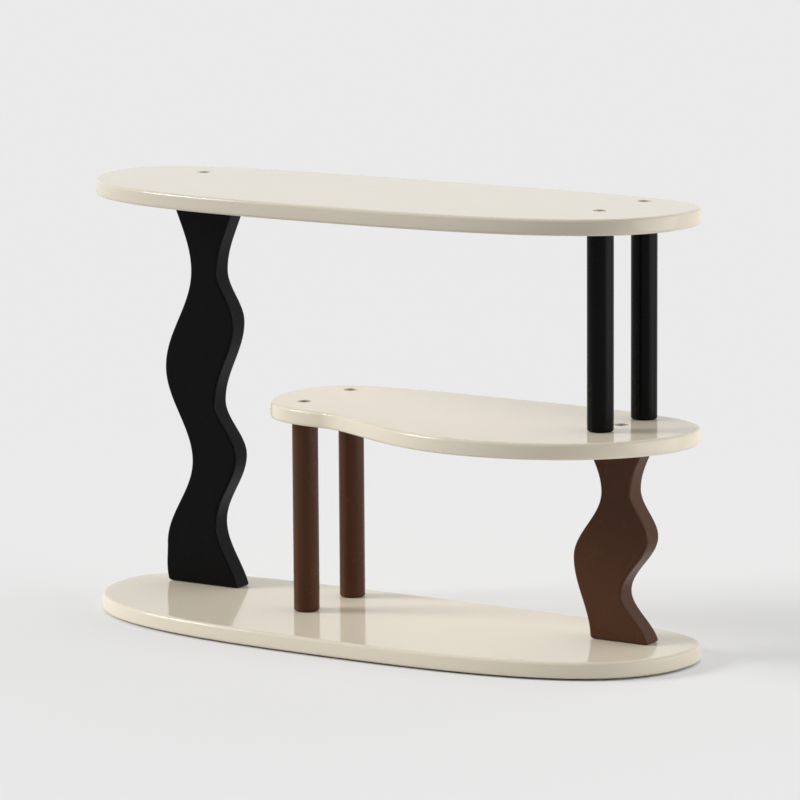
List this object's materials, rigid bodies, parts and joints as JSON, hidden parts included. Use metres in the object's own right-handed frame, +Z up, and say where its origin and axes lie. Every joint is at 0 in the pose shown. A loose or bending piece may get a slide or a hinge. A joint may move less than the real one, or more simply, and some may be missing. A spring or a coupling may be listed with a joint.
{
  "type": "desktop display shelf",
  "caption": "Desktop display shelf: cream boards with rounded ends stacked on wavy panels and round posts, with a shorter bean-shaped middle board, screwed together to stand on a desk.",
  "frame": {"origin": "on the table, under the middle of the base board's outer box", "axes": "+X along the boards towards the end with the middle board, +Y to the straight back edge, +Z up"},
  "size_m": [0.52, 0.178, 0.343],
  "materials": {
    "cream_lacquer": "satin cream lacquer",
    "black_lacquer": "satin black lacquer",
    "brown_lacquer": "satin red-brown lacquer",
    "screw_steel": "dark plated steel",
    "insert_brass": "plain brass",
    "pin_beech": "bare beech",
    "pad_rubber": "matt black rubber"
  },
  "bodies": {
    "root": {"base_board": "cream_lacquer", "middle_board": "cream_lacquer", "top_board": "cream_lacquer", "black_wave_panel": "black_lacquer", "black_post_front": "black_lacquer", "black_post_rear": "black_lacquer", "brown_wave_panel": "brown_lacquer", "brown_post_front": "brown_lacquer", "brown_post_rear": "brown_lacquer", "screw_black_panel_foot": "screw_steel", "screw_black_panel_top": "screw_steel", "screw_brown_panel_foot": "screw_steel", "screw_brown_panel_top": "screw_steel", "screw_black_post_front_foot": "screw_steel", "screw_black_post_front_top": "screw_steel", "screw_black_post_rear_foot": "screw_steel", "screw_black_post_rear_top": "screw_steel", "screw_brown_post_front_foot": "screw_steel", "screw_brown_post_front_top": "screw_steel", "screw_brown_post_rear_foot": "screw_steel", "screw_brown_post_rear_top": "screw_steel", "insert_black_panel_foot": "insert_brass", "insert_black_panel_top": "insert_brass", "insert_brown_panel_foot": "insert_brass", "insert_brown_panel_top": "insert_brass", "insert_black_post_front_foot": "insert_brass", "insert_black_post_front_top": "insert_brass", "insert_black_post_rear_foot": "insert_brass", "insert_black_post_rear_top": "insert_brass", "insert_brown_post_front_foot": "insert_brass", "insert_brown_post_front_top": "insert_brass", "insert_brown_post_rear_foot": "insert_brass", "insert_brown_post_rear_top": "insert_brass", "pin_black_foot_left": "pin_beech", "pin_black_foot_right": "pin_beech", "pin_black_top_left": "pin_beech", "pin_black_top_right": "pin_beech", "pin_brown_foot_left": "pin_beech", "pin_brown_foot_right": "pin_beech", "pin_brown_top_left": "pin_beech", "pin_brown_top_right": "pin_beech", "pad_front_left": "pad_rubber", "pad_front_right": "pad_rubber", "pad_rear_left": "pad_rubber", "pad_rear_right": "pad_rubber"}
  },
  "joints": []
}
